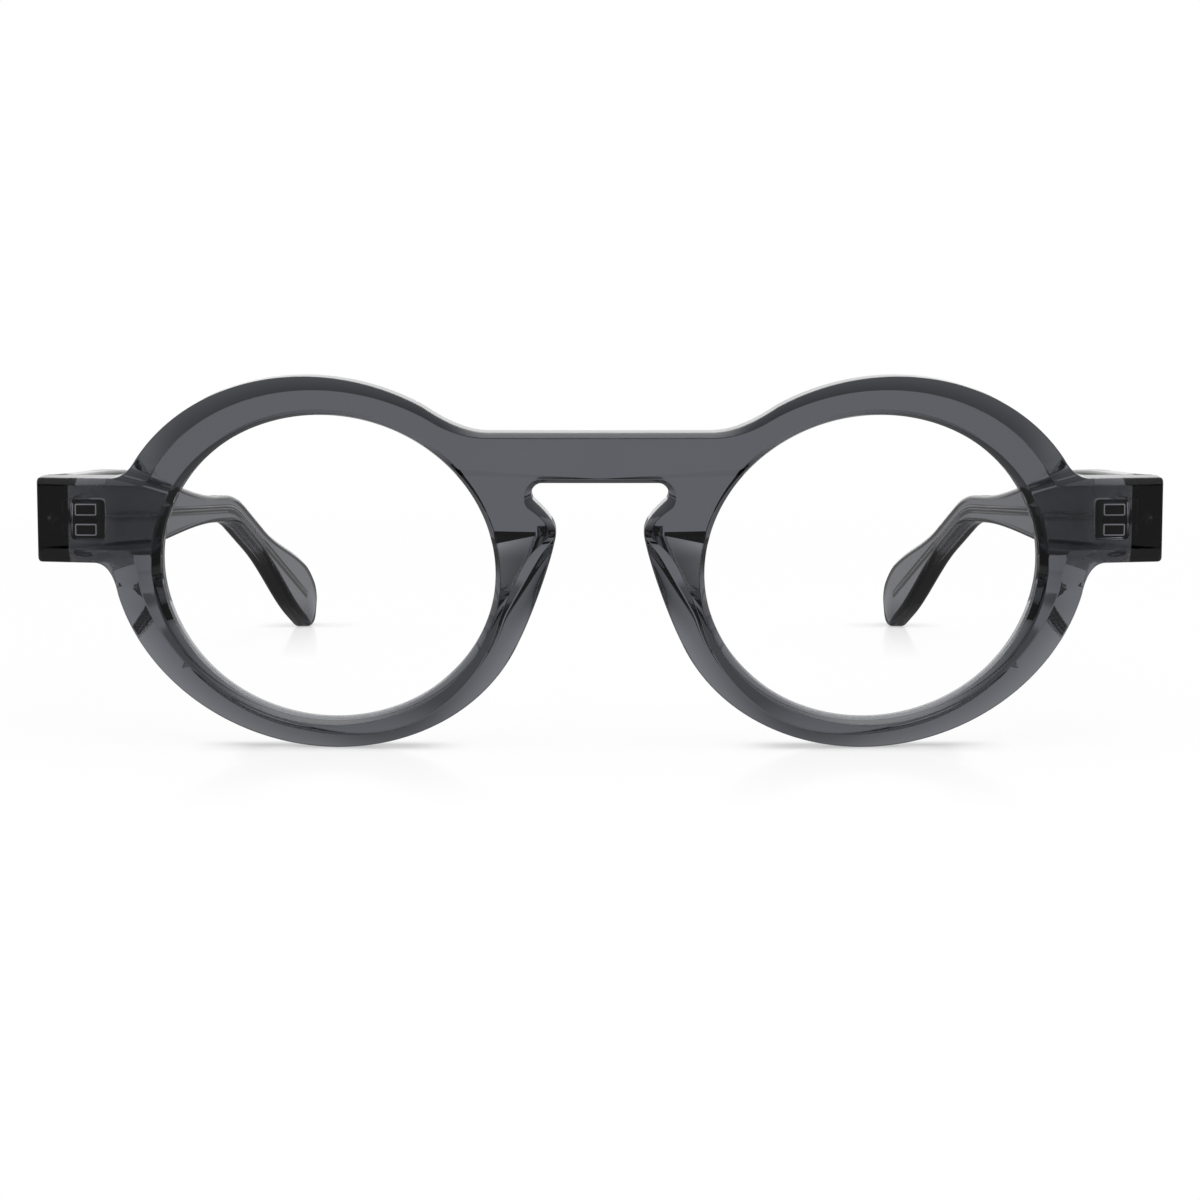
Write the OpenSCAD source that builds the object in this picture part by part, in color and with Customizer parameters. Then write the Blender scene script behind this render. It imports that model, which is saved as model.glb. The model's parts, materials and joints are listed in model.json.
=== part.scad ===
/* [Lens openings] */
// Long axis of a lens opening
opening_w = 43.1; // [40:0.1:46]
// Short axis of a lens opening
opening_h = 38.9; // [36:0.1:42]
// Turn of the openings, outer end up
opening_turn = 8.5; // [0:0.5:14]
// Distance between the centres of the two openings
eye_gap = 69.6; // [66:0.1:74]
// Widening of the openings towards the front, all round
flare = 0.85; // [0.3:0.05:1.2]
// Height of an opening's centre above the foot of its rim
eye_z = 22.8; // [21:0.1:26]

/* [Rims] */
// Material beside a lens opening
rim_side = 5.8; // [4.8:0.1:7]
// Material above and below a lens opening
rim_band = 4.1; // [3.4:0.1:5]
// Turn of the rim's outline, outer end up
rim_turn = 13; // [8:0.5:16]
// How far the outline sits outwards of the opening
rim_out = 0.9; // [0.4:0.1:1.2]
// How far the outline sits above the opening
rim_up = 0.65; // [0:0.05:0.8]
// Thickness of the front, from face to back
front_t = 6.5; // [5.5:0.1:7.5]
// Radius of the front's curve, seen from above
wrap_r = 380; // [300:5:600]
// Depth of the bevel round the face
bevel_t = 1.6; // [1:0.1:2.2]
// Mean width of the bevel beside the rims
bevel_side = 1.75; // [1.4:0.05:2]
// Mean width of the bevel above and below the rims
bevel_band = 2.1; // [1.8:0.05:2.3]
// Softened edge along the back
back_edge = 0.4; // [0.2:0.05:0.6]

/* [Bridge and nose] */
// Height of the bridge's flat top above the rims' feet
bridge_top = 40.2; // [38.5:0.1:41.5]
// Height of the bridge from its top to the keyhole
bridge_h = 6.4; // [5.4:0.1:7]
// Bevel along the bridge's top
bridge_bevel = 0.6; // [0.3:0.05:1]
// Narrowest distance between the two nose sides
nose_gap = 11.2; // [10:0.1:13]
// Height of that narrowest place
nose_z = 27; // [26:0.1:28]
// Distance between the keyhole's two round corners
keyhole_w = 14.7; // [14:0.1:15.5]
// Radius of the keyhole's corners
keyhole_r = 1.35; // [1:0.05:1.6]
// Bevel along the nose sides
nose_bevel = 0.9; // [0.5:0.05:1.2]

/* [End pieces] */
// Width over both end pieces
front_w = 144.8; // [140:0.1:150]
// Height of an end piece
lug_h = 10.95; // [9.5:0.05:12]
// Height of its underside above the rims' feet
lug_z = 23; // [22:0.1:24]
// Bevel along its top
lug_bevel_top = 0.8; // [0.4:0.05:1.2]
// Bevel along its underside
lug_bevel_low = 1.9; // [1:0.05:2.2]
// Radius of its outer corners
lug_r = 0.6; // [0.3:0.05:1]
// Width of its flat back, where the temple stops
lug_seat_w = 10.6; // [9.5:0.1:11.2]

/* [Lenses] */
// Thickness of a lens
lens_t = 2; // [1.6:0.1:2.6]
// Depth of the groove that holds the lens
groove_d = 0.75; // [0.4:0.05:0.9]
// Width of the groove at its mouth
groove_w = 1.6; // [1.2:0.1:2.2]
// Distance of the groove's middle behind the face
groove_y = 2.9; // [2.6:0.1:3.2]
// Bulge of a lens
lens_bulge = 1.7; // [1:0.1:2.2]

/* [Cut-away behind the lenses] */
// Wall that stays behind the groove where the back is cut away deepest
carve_wall = 0.3; // [0.2:0.05:0.6]
// Height of the ledge where the cut-away ends beside the nose
ledge_z = 27.3; // [26.8:0.1:27.8]
// Width of the cut-away at the ledge
carve_w = 5.6; // [4.6:0.1:6]
// Width of the cut-away under the opening
carve_low_w = 1; // [0.8:0.05:1.3]

/* [Nose pads] */
// How far the pads stand out behind the front
pad_t = 3.4; // [2.4:0.1:4.6]
// Height of the pads' upper end above the rims' feet
pad_top = 28.1; // [27.4:0.1:28.4]
// Height over which a pad's upper end slants
pad_slant = 1.6; // [1:0.1:2.4]
// Height of the pads' lower end
pad_low = 12; // [11:0.5:15]
// Margin between a pad and the nose side
pad_margin = 0.4; // [0.3:0.05:0.6]
// Margin between a pad and the cut-away
pad_inset = 0.2; // [0.1:0.05:0.4]

/* [Hinges] */
// Radius of the knuckles
knuckle_r = 1.2; // [1:0.05:1.3]
// Radius of the screw's shank
screw_r = 0.6; // [0.4:0.05:0.7]
// Radius of the screw's head
screw_head_r = 0.95; // [0.85:0.05:1]
// Height of the screw's head
screw_head_h = 0.5; // [0.3:0.05:0.7]
// Width and depth of the slot in the head
slot_w = 0.25; // [0.15:0.05:0.3]
// Height of the hinge, over all three knuckles
hinge_h = 5.2; // [4.6:0.1:6.5]
// Height of the middle knuckle, on the temple
knuckle_mid_h = 1.9; // [1.5:0.1:2.4]
// Width of the leaf set into the end piece
leaf_w = 4.4; // [3.8:0.1:4.6]
// Thickness of both leaves
leaf_t = 0.9; // [0.7:0.05:1.1]
// Radius of the sunk leaf's corners
leaf_r = 0.5; // [0.3:0.1:0.7]
// Length of the leaf set into the temple
leaf_len = 8.5; // [6:0.1:11]
// Distance of that leaf behind the temple's front end
leaf_from = 1; // [0.6:0.1:1.2]
// Depth of the pocket in the end piece
pocket_d = 3; // [2.4:0.1:3.4]
// Distance of the hinge's axis behind the end piece
axis_back = 1.5; // [1.45:0.05:1.7]
// Distance of the hinge's axis from the temple's inner side
axis_in = 1.75; // [1.65:0.05:1.9]

/* [Anchors of the sunk leaves] */
// Width of an anchor's leg
leg_w = 1.3; // [0.8:0.1:1.6]
// Height of an anchor's leg, which is half that of its foot
leg_h = 0.75; // [0.5:0.05:0.8]
// Width of the foot at its end
foot_w = 2.8; // [2:0.1:3.4]
// Thickness of the foot
foot_t = 0.7; // [0.4:0.1:1]
// Distance of the anchors from the leaf's middle towards the end
anchor_out = 0.3; // [0:0.1:0.4]
// Height of the tongue of acetate between the anchors
tongue_h = 0.85; // [0.6:0.05:0.9]
// Length of that tongue from the pocket's outer side
tongue_len = 3.5; // [3:0.1:3.6]

/* [Temples] */
// Length of a temple from its hinge to the start of its bend
arm_len = 80; // [76:0.5:86]
// Length from the start of the bend to the tip
ear_len = 63; // [56:0.5:66]
// Slope of the temple down from the square of the front
arm_slope = 5; // [3:0.1:7]
// Angle by which the ear piece turns down
ear_drop = 17.5; // [15:0.5:21]
// Radius of the bend along the middle of the temple
bend_r = 30; // [20:1:40]
// Angle by which the temples close in towards each other
arm_toe = 8.4; // [6:0.1:9]
// Height of a temple at its hinge
arm_h = 10.9; // [9.5:0.1:11.5]
// Rise of its upper edge between the hinge and the waist
arm_crown = 0.6; // [0:0.1:1.2]
// Length over which it keeps its full height
full_len = 24; // [20:1:30]
// Height of its narrowest place, before the bend
waist_h = 4.1; // [3.6:0.1:5]
// Distance of that place in front of the bend
waist_back = 6; // [2:1:12]
// Height of the paddle at its tip
paddle_h = 9.2; // [8:0.1:11]
// Length of the paddle, from the waist's end to the tip
paddle_len = 41; // [34:1:46]
// Length of the paddle that has its full height
paddle_full = 10; // [8:1:14]
// Thickness of a temple at its hinge
arm_t = 4; // [3.4:0.1:4.4]
// Thickness of a temple at its tip
tip_t = 3.2; // [2.8:0.1:3.6]
// Radius of a temple's long edges
arm_edge = 0.9; // [0.5:0.05:1.2]
// Gap between an open temple and the end piece
butt_gap = 0.15; // [0.1:0.05:0.3]
// Diameter of the metal core
core_d = 1.3; // [1:0.1:1.5]
// Distance of the core behind the temple's front end
core_from = 1.5; // [1:0.5:4]
// Distance of the core's end from the temple's tip
core_end = 8; // [6:0.5:14]

/* [Fits] */
// Clearance round a part that is set into another
fit_gap = 0.04; // [0.03:0.01:0.08]
// Running clearance round the screw, and between knuckles
run_gap = 0.05; // [0.03:0.01:0.08]

/* [Hidden] */
$fn = 48;

acetate = [0.36, 0.36, 0.4, 0.85];
temple_acetate = [0.44, 0.45, 0.49, 0.8];
dark_metal = [0.16, 0.16, 0.18];
steel = [0.6, 0.6, 0.63];
glass = [0.92, 0.95, 0.97, 0.25];

// A cut runs past the face that it opens by this much
over = 1;
// Where a cut has to end flush with a face, it runs past it by this much
over_thin = 0.01;

function mix(a, b, t) = a + (b - a) * t;
function curve3(a, b, c, t) = mix(mix(a, b, t), mix(b, c, t), t);
function curve4(a, b, c, d, t) = mix(curve3(a, b, c, t), curve3(b, c, d, t), t);
function smooth(t) = let (u = max(0, min(1, t))) u * u * (3 - 2 * u);
function steps(n) = [for (i = [0:n - 1]) i / n];

// Ovals are given as centre x, centre z, half width, half height and turn
function oval(e, t) = [
    e[0] + e[2] * cos(t) * cos(e[4]) - e[3] * sin(t) * sin(e[4]),
    e[1] + e[2] * cos(t) * sin(e[4]) + e[3] * sin(t) * cos(e[4])];
function grown(e, more) = [e[0], e[1], e[2] + more, e[3] + more, e[4]];
function shrunk(e, share) = [e[0], e[1], e[2] * share, e[3] * share, e[4]];
// Angle on an oval at which it reaches height z, on its outer side or towards the nose
function oval_angle(e, z, outer) =
    let (s = e[2] * sin(e[4]), c = e[3] * cos(e[4]), m = norm([s, c]), base = atan2(c, s),
        spread = acos((z - e[1]) / m))
    outer ? base + spread : base - spread;

// Ovals of the left eye
opening = [-eye_gap / 2, eye_z, opening_w / 2, opening_h / 2, -opening_turn];
rim = [opening[0] - rim_out, opening[1] + rim_up, opening[2] + rim_side, opening[3] + rim_band, -rim_turn];
back_rim = grown(rim, -back_edge);
// The bevel's inner line lies nearer to the nose, so the bevel is widest at the outer side
crease_in = 1.5;
crease_up = 0.45;
crease = [rim[0] + crease_in, rim[1] + crease_up, rim[2] - bevel_side, rim[3] - bevel_band, rim[4]];
// The flared mouth leans outwards
mouth_out = 0.15;
mouth_low = 0.05;
mouth = [opening[0] - mouth_out, opening[1] - mouth_low, opening[2] + flare, opening[3] + flare / 2,
    opening[4]];

bridge_low = bridge_top - bridge_h;
lug_top = lug_z + lug_h;
end_x = front_w / 2;

// Half of the bridge's flat top, and where the rim's oval starts and stops over the eye
valley_x = 14.2;
rim_from = 72;
rim_to = 162;
// The oval starts again under the end piece, and the nose side leaves it at these angles
rim_on = 206;
edge_leave = 350;
face_leave = 338;
// Under the eye the crease leaves its oval at the first angle, and from the second one it
// follows the opening at a distance that falls to the last value, up to the nose
crease_off = 275;
crease_on = 320;
crease_gap = [2.1, 1.4];
crease_pull = [2.9, 2.2];
crease_rise = 5.5;
// Fillets between end piece and rim, and their share where the bevel's line meets the end piece
fillet_top = 1.9;
fillet_low = 2.3;
crease_fillet = 0.25;
least_r = 0.15;
// The nose side runs straight up over its narrowest place, then out to the keyhole's corner
nose_pull = [0.5, 3];
nose_rise = 4;
nose_straight = 1.5;
nose_step = 0.5;
notch_at = 215;

// Stations on each stretch of the half outline, and the opening's angle where each one starts
stretch_n = [3, 5, 20, 5, 1, 4, 2, 4, 1, 6, 30, 8, 1, 5, 6, 2];
nose_from = 351;
ledge_drop = 1.45;
ledge_from = 360 + oval_angle(opening, ledge_z - ledge_drop, false);
ledge_to = 360 + oval_angle(opening, ledge_z, false);
notch_from = ledge_to + 5.3;
stretch_at = [50, 54, 63, 158, 163, 166, 171, 175, 179, 182, 196, nose_from, ledge_from, ledge_to,
    notch_from, 407, 410];
// Angles round the opening that go with the stations
ring_at = concat([for (k = [0:len(stretch_n) - 1]) each [for (t = steps(stretch_n[k]))
    mix(stretch_at[k], stretch_at[k + 1], t)]], [stretch_at[len(stretch_at) - 1]]);
last = len(ring_at) - 1;

// One half outline, from the middle of the bridge's top, over the left rim, round the end
// piece, under the rim, up the nose side and through the keyhole to the middle of the bridge
function half_outline(e, top, low, lug_hi, lug_lo, inset, corner, leave, fillet) =
    let (x_end = -end_x + min(inset, lug_r) / 2,
        valley = oval(e, oval_angle(e, top, false)),
        joint_hi = oval(e, oval_angle(e, lug_hi, true)),
        joint_lo = oval(e, oval_angle(e, lug_lo, true)),
        from_hi = [joint_hi[0] - fillet * fillet_top, lug_hi],
        from_lo = [joint_lo[0] - fillet * fillet_low, lug_lo],
        n = stretch_n,
        nose_lo = oval(e, leave),
        slope = nose_lo - oval(e, leave - nose_rise),
        rise = slope / norm(slope) * nose_rise,
        nose_hi = [-nose_gap / 2 - inset, nose_z],
        nose_top = nose_hi + [0, nose_step],
        nose_over = nose_top + [0, nose_straight],
        arc_r = keyhole_r + inset,
        arc_c = [-keyhole_w / 2, low - arc_r],
        notch = arc_c + arc_r * [cos(notch_at), sin(notch_at)])
    concat(
        [for (t = steps(n[0])) mix([0, top], [-valley_x, top], t)],
        [for (t = steps(n[1])) curve3([-valley_x, top], [valley[0], top], oval(e, rim_from), t)],
        [for (t = steps(n[2])) oval(e, mix(rim_from, rim_to, t))],
        [for (t = steps(n[3])) curve3(oval(e, rim_to), [joint_hi[0], lug_hi], from_hi, t)],
        [from_hi],
        [for (t = steps(n[5]))
            curve3([x_end + corner, lug_hi], [x_end, lug_hi], [x_end, lug_hi - corner], t)],
        [for (t = steps(n[6])) mix([x_end, lug_hi - corner], [x_end, lug_lo + corner], t)],
        [for (t = steps(n[7]))
            curve3([x_end, lug_lo + corner], [x_end, lug_lo], [x_end + corner, lug_lo], t)],
        [[x_end + corner, lug_lo]],
        [for (t = steps(n[9])) curve3(from_lo, [joint_lo[0], lug_lo], oval(e, rim_on), t)],
        [for (t = steps(n[10])) oval(e, mix(rim_on, leave, t))],
        [for (t = steps(n[11])) curve4(nose_lo, nose_lo + rise, nose_hi - nose_pull, nose_hi, t)],
        [nose_hi],
        [for (t = steps(n[13])) curve4(nose_top, nose_over, mix(notch, nose_over, 0.5), notch, t)],
        [for (t = steps(n[14])) let (a = mix(notch_at, 90, t)) arc_c + arc_r * [cos(a), sin(a)]],
        [for (t = steps(n[15])) mix([arc_c[0], low], [0, low], t)],
        [[0, low]]);

edge_line = half_outline(rim, bridge_top, bridge_low, lug_top, lug_z, 0, lug_r, edge_leave, 1);
crease_line = half_outline(crease, bridge_top - bridge_bevel, bridge_low + bridge_bevel,
    lug_top - lug_bevel_top, lug_z + lug_bevel_low, nose_bevel, least_r, face_leave, crease_fillet);
// The crease as it runs: beside the opening from under the eye, and then up to the nose side
function beside(a) =
    oval(grown(opening, mix(crease_gap[0], crease_gap[1], (a - crease_on) / (nose_from - crease_on))), a);
nose_start = beside(nose_from);
nose_way = nose_start - oval(grown(opening, crease_gap[1]), nose_from - nose_rise);
nose_end = [-nose_gap / 2 - nose_bevel, nose_z];
face_line = [for (i = [0:last]) let (a = ring_at[i], t = (a - nose_from) / (ledge_from - nose_from))
    a <= crease_off || a >= ledge_from ? crease_line[i] :
    a < nose_from ? mix(crease_line[i], beside(a), smooth((a - crease_off) / (crease_on - crease_off))) :
    curve4(nose_start, nose_start + nose_way / norm(nose_way) * crease_rise, nose_end - crease_pull,
        nose_end, t)];
back_line = half_outline(back_rim, bridge_top - back_edge, bridge_low + back_edge,
    lug_top - back_edge, lug_z + back_edge, back_edge, lug_r, edge_leave, 1);

// Depth of the front's curve at a distance from its middle
function wrap(x) = x * x / (2 * wrap_r);
// The end piece has a flat back, square to the front
lug_back = front_t + wrap(end_x - lug_seat_w / 2);
seat_x = end_x - lug_seat_w;
function back_y(x) = abs(x) > seat_x - over_thin ? lug_back : front_t + wrap(x);
function opening_point(e, a, y) = let (p = oval(e, a)) [p[0], wrap(p[0]) + y, p[1]];
// The back is cut away along the lower half of each opening, deepest and widest at the ledge
// beside the nose, where it ends; these are its depth and width at an angle of the opening
carve_from = 205;
carve_ease = 40;
carve_low = 0.45;
carve_curve = 1.5;
carve_d = front_t - back_edge - groove_y - groove_w / 2 - carve_wall;
function carve_rise(a) = max(0, (a - nose_from) / (ledge_from - nose_from));
function carve_deep(a) = a > ledge_from ? 0 :
    carve_d * mix(carve_low, 1, carve_rise(a)) * smooth((a - carve_from) / carve_ease);
function carve_broad(a) = mix(carve_low_w, carve_w, pow(carve_rise(a), carve_curve));
// A line between the back's two edges, which bounds the flat seat on the end piece and, under
// the eye, the cut-away
carve_shift = 20;
function seat_point(i) =
    let (a = ring_at[i], o = back_line[i], p = oval(opening, a), on_lug = o[0] < -seat_x,
        t = on_lug ? (seat_x + p[0]) / (p[0] - o[0]) : 0.5, q = mix(p, o, t),
        near = oval(grown(opening, carve_broad(a)), a), top = oval(grown(opening, carve_w), ledge_from),
        s = on_lug || a > ledge_to ? q :
            a > ledge_from ? [top[0], ledge_z] :
            mix(q, near, smooth((a - stretch_at[10]) / carve_shift)))
    [s[0], on_lug ? lug_back : front_t + wrap(s[0]), s[1]];

// Rings of the left half, from the face's bevel line over the outside to the back, and on
// through the opening and its groove to the face again
rings = 11;
function ring(k, i) =
    let (a = ring_at[i], f = face_line[i], e = edge_line[i], b = back_line[i])
    k == 0 ? [f[0], wrap(f[0]), f[1]] :
    k == 1 ? [e[0], wrap(e[0]) + bevel_t, e[1]] :
    k == 2 ? [e[0], back_y(b[0]) - back_edge, e[1]] :
    k == 3 ? [b[0], back_y(b[0]), b[1]] :
    k == 4 ? seat_point(i) :
    k == 5 ? opening_point(grown(opening, back_edge), a, front_t - carve_deep(a)) :
    k == 6 ? opening_point(opening, a, front_t - carve_deep(a) - back_edge) :
    k == 7 ? opening_point(opening, a, groove_y + groove_w / 2) :
    k == 8 ? opening_point(grown(opening, groove_d), a, groove_y) :
    k == 9 ? opening_point(opening, a, groove_y - groove_w / 2) :
    opening_point(mouth, a, 0);

// Points of both halves; the stations on the middle line are shared, and the ends of each
// ring round an opening are one point
side_n = rings * (last + 1);
front_points = concat(
    [for (i = [0:last], k = [0:rings - 1]) ring(k, i)],
    [for (i = [0:last], k = [0:rings - 1]) let (p = ring(k, i)) [-p[0], p[1], p[2]]]);
function at(side, i, k) =
    let (j = (k > 4 && i == last) ? 0 : i, shared = (j == 0 || j == last) && k < 4)
    (shared ? 0 : side * side_n) + j * rings + k;
function quad(a, b, c, d, flip) = flip ? [[a, c, b], [a, d, c]] : [[a, b, c], [a, c, d]];
function tri(a, b, c, flip) = flip ? [a, c, b] : [a, b, c];
front_faces = concat(
    [for (s = [0, 1], i = [0:last - 1], k = [0:rings - 1]) let (m = (k + 1) % rings) each
        quad(at(s, i, k), at(s, i + 1, k), at(s, i + 1, m), at(s, i, m), s == 1)],
    [for (s = [0, 1]) each [
        tri(at(s, 0, rings - 1), at(s, 0, 0), at(s, last, 0), s == 1),
        tri(at(s, 0, 4), at(s, last, 4), at(s, last, 3), s == 1),
        tri(at(s, 0, 4), at(s, last, 3), at(s, 0, 3), s == 1),
        tri(at(s, 0, 5), at(s, last, 4), at(s, 0, 4), s == 1)]]);

// Faces of a loft over n sections of m points each
function loft_faces(n, m) = concat(
    [for (i = [1:m - 2]) [0, i + 1, i]],
    [for (i = [0:n - 2], j = [0:m - 1]) each
        let (a = i * m + j, b = i * m + (j + 1) % m)
        [[a, b, a + m], [b, b + m, a + m]]],
    [for (i = [1:m - 2]) [(n - 1) * m, (n - 1) * m + i, (n - 1) * m + i + 1]]);

// Lens: stations from the middle of its front, over the ridge that sits in the rim's groove,
// to the middle of its back
lens_sides = 60;
lens_shares = [0.4, 0.75];
ridge_ease = 0.2;
ridge_root = groove_w / 2 - ridge_ease;
function lens_edge(more, dy) = [for (t = steps(lens_sides))
    opening_point(grown(opening, more), 360 * t, groove_y + dy)];
function lens_face(share, dy) = [for (t = steps(lens_sides))
    opening_point(shrunk(opening, share), 360 * t, groove_y + dy - lens_bulge * (1 - share * share))];
lens_points = concat(
    [for (share = lens_shares) each lens_face(share, -lens_t / 2)],
    lens_edge(-fit_gap, -lens_t / 2),
    lens_edge(-fit_gap, -ridge_root),
    lens_edge(groove_d - 2 * fit_gap, 0),
    lens_edge(-fit_gap, ridge_root),
    lens_edge(-fit_gap, lens_t / 2),
    [for (k = [len(lens_shares) - 1:-1:0]) each lens_face(lens_shares[k], lens_t / 2)]);

// Nose pad: sections from its slanted upper end down, between the cut-away and the nose side,
// cemented to the back of the rim
cement = 0.03;
pad_steps = 10;
pad_heights = concat([pad_top],
    [for (i = [0:pad_steps]) mix(pad_top - pad_slant, pad_low, i / pad_steps)]);
// Its thickness at the upper end, and how far it falls towards the lower end
pad_least = 0.06;
pad_fall = 0.97;
// Each point of a section: share of the way to the nose side, and share of the thickness
pad_profile = [[0, 0], [0.5, 0], [1, 0], [0.94, 0.3], [0.74, 0.7], [0.42, 1], [0.14, 0.9], [0, 0.45]];
// The nose side and the cut-away's edge as height and place, from under the pads to over them
under_pads = 300;
nose_line = [for (i = [0:last]) if (ring_at[i] > under_pads && ring_at[i] < notch_from)
    [edge_line[i][1], edge_line[i][0]]];
carve_line = [for (i = [0:last]) if (ring_at[i] > under_pads && ring_at[i] <= ledge_from)
    let (p = seat_point(i)) [p[2], p[0]]];
function pad_section(z) =
    let (down = pad_top - z, u = down / (pad_top - pad_low),
        t = pad_t * min(1, pad_least + down / pad_slant) * (1 - pad_fall * smooth(u)),
        inner = lookup(z, carve_line) + pad_inset,
        outer = lookup(z, nose_line) - pad_margin)
    [for (p = pad_profile)
        let (x = mix(inner, outer, p[0]))
        [x, front_t + wrap(x) + cement + t * p[1], z]];
pad_points = [for (z = pad_heights) each pad_section(z)];

// Hinge places, for the left side
inner_x = -(end_x - arm_t);
axis_x = inner_x + axis_in;
axis_y = lug_back + axis_back;
hinge_z = lug_z + lug_h / 2;
leaf_mid = axis_x - knuckle_r + leaf_w / 2;
low_z = hinge_z - hinge_h / 2;
high_z = hinge_z + hinge_h / 2;
mid_z = hinge_z - knuckle_mid_h / 2;
outer_h = (hinge_h - knuckle_mid_h) / 2 - run_gap;
leaf_short = 0.3;
temple_leaf_h = hinge_h - 2 * leaf_short;

// Temple, along its middle line: a straight run, an arc and a straight ear piece
butt_y = lug_back + butt_gap;
total_len = arm_len + ear_len;
bend_len = bend_r * ear_drop * PI / 180;
waist_at = arm_len - waist_back;
paddle_from = total_len - paddle_len;
paddle_at = total_len - paddle_full;
tip_r = paddle_h / 2;
function slope_at(s) = arm_slope + (s < arm_len ? 0 : min(1, (s - arm_len) / bend_len) * ear_drop);
function middle(s) =
    let (a = min(s, arm_len), c = max(0, s - arm_len - bend_len), e = slope_at(s))
    [butt_y + a * cos(arm_slope) + bend_r * (sin(e) - sin(arm_slope)) + c * cos(e),
        hinge_z - a * sin(arm_slope) - bend_r * (cos(arm_slope) - cos(e)) - c * sin(e)];
function arm_height(s) =
    s < waist_at ? mix(arm_h, waist_h, smooth((s - full_len) / (waist_at - full_len))) :
    mix(waist_h, paddle_h, smooth((s - paddle_from) / (paddle_at - paddle_from)));
function arm_thick(s) = mix(arm_t, tip_t, s / total_len);
function crown_at(s) = smooth(s / full_len) * smooth((waist_at - s) / (waist_at - full_len));
// The tip is rounded like the end of a spoon
tip_least = 0.14;
tip_end = 0.05;
tip_thinning = 0.35;
function tip_scale(s) =
    let (d = max(0, s - (total_len - tip_r)) / tip_r)
    max(tip_least, sqrt(max(0, 1 - d * d)));
// The temples start beside the hinge and close in evenly behind it
function arm_x(y) = -(end_x - arm_t / 2) + tan(arm_toe) * (y - butt_y);
// A point across and above the middle line; the front end is square, as it meets the end piece
function arm_place(s, across, up) =
    let (m = middle(s), turn = slope_at(s) * smooth(s / full_len), y = m[0] + up * sin(turn))
    [arm_x(y) + across, y, m[1] + up * cos(turn)];
// Section of a temple: a rectangle with rounded edges
edge_turns = [0, 45, 90];
function section(w, h, r) = [for (q = [0:3], a = edge_turns)
    let (sx = (q == 0 || q == 3) ? 1 : -1, sz = q < 2 ? 1 : -1)
    [sx * (w / 2 - r) + r * cos(a + 90 * q), sz * (h / 2 - r) + r * sin(a + 90 * q)]];
function arm_ring(s) =
    let (k = tip_scale(s), w = arm_thick(s) * mix(1, k, tip_thinning), h = arm_height(s) * k,
        r = min(arm_edge, h / 2 - tip_end))
    [for (p = section(w, h, r)) arm_place(s, p[0], p[1] + (p[1] > 0 ? arm_crown * crown_at(s) : 0))];
arm_stations = concat([for (t = steps(13)) t * arm_len],
    [for (t = steps(18)) mix(arm_len, total_len - tip_r, t)],
    [for (a = [0:15:75]) total_len - tip_r + tip_r * sin(a)], [total_len - tip_end]);
arm_points = [for (s = arm_stations) each arm_ring(s)];

// Core wire along the middle line, in a bore that opens at the temple's front end
core_sides = 8;
bend_margin = 3;
core_last_run = 18;
core_stations = concat([core_from], [for (t = [0.25:0.25:0.75]) t * arm_len],
    [for (i = [0:8]) mix(arm_len - bend_margin, arm_len + bend_len + bend_margin, i / 8)],
    [total_len - core_end - core_last_run, total_len - core_end]);
// Points of the wire, or of its bore, which starts at from_s and ends further on
function core_points(r, from_s, more) =
    let (n = len(core_stations))
    [for (k = [0:n - 1], t = steps(core_sides))
        let (s = k == 0 ? from_s : core_stations[k] + (k == n - 1 ? more : 0))
        arm_place(s, r * cos(360 * t), r * sin(360 * t))];

// Standing pose: both rims' feet and both tips touch the ground
function low_point(points, lean) =
    let (h = [for (p = points) p[2] * cos(lean) + p[1] * sin(lean)], m = min(h))
    points[search(m, h)[0]];
function settle(lean, n) =
    let (a = low_point(front_points, lean), b = low_point(arm_points, lean))
    n == 0 ? lean : settle(atan((a[2] - b[2]) / (b[1] - a[1])), n - 1);
lean = settle(0, 6);
foot = low_point(front_points, lean);
foot_z = foot[2] * cos(lean) + foot[1] * sin(lean);
depths = [for (p = concat(front_points, arm_points)) p[1] * cos(lean) - p[2] * sin(lean)];
mid_y = (min(depths) + max(depths)) / 2;

module stand() {
    translate([0, -mid_y, -foot_z])
        rotate([lean, 0, 0])
            children();
}

// The right side mirrors the left one
module on_side(side) {
    stand()
        mirror([side > 0 ? 1 : 0, 0, 0])
            children();
}

// A plate with rounded corners, drawn from its middle
module rounded_plate(w, h, r, depth) {
    linear_extrude(depth)
        translate([-w / 2, -h / 2])
            union() {
                translate([r, 0]) square([w - 2 * r, h]);
                translate([0, r]) square([w, h - 2 * r]);
                for (x = [r, w - r], z = [r, h - r])
                    translate([x, z]) circle(r);
            }
}

// The same plate, sunk into the end piece from its back, or its pocket
module into_lug(more, depth) {
    translate([leaf_mid, lug_back, hinge_z])
        rotate([90, 0, 0])
            rounded_plate(leaf_w + 2 * more, hinge_h + 2 * more, leaf_r + more, depth);
}

// The tongue stays between the anchors and ends short of the sunk leaf
module tongue() {
    from_y = lug_back - pocket_d - over;
    translate([leaf_mid - leaf_w / 2 - over, from_y, hinge_z - tongue_h / 2])
        cube([tongue_len + over, pocket_d + over - leaf_t - fit_gap, tongue_h]);
}

module front_frame() {
    color(acetate)
        stand()
            difference() {
                polyhedron(front_points, front_faces);
                for (side = [0, 1])
                    mirror([side, 0, 0])
                        difference() {
                            translate([0, over_thin, 0])
                                into_lug(fit_gap, pocket_d + over_thin);
                            tongue();
                        }
            }
}

module lens(side) {
    color(glass)
        on_side(side)
            polyhedron(lens_points, loft_faces(2 * len(lens_shares) + 5, lens_sides));
}

module nose_pad(side) {
    color(acetate)
        on_side(side)
            polyhedron(pad_points, loft_faces(len(pad_heights), len(pad_profile)));
}

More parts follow.
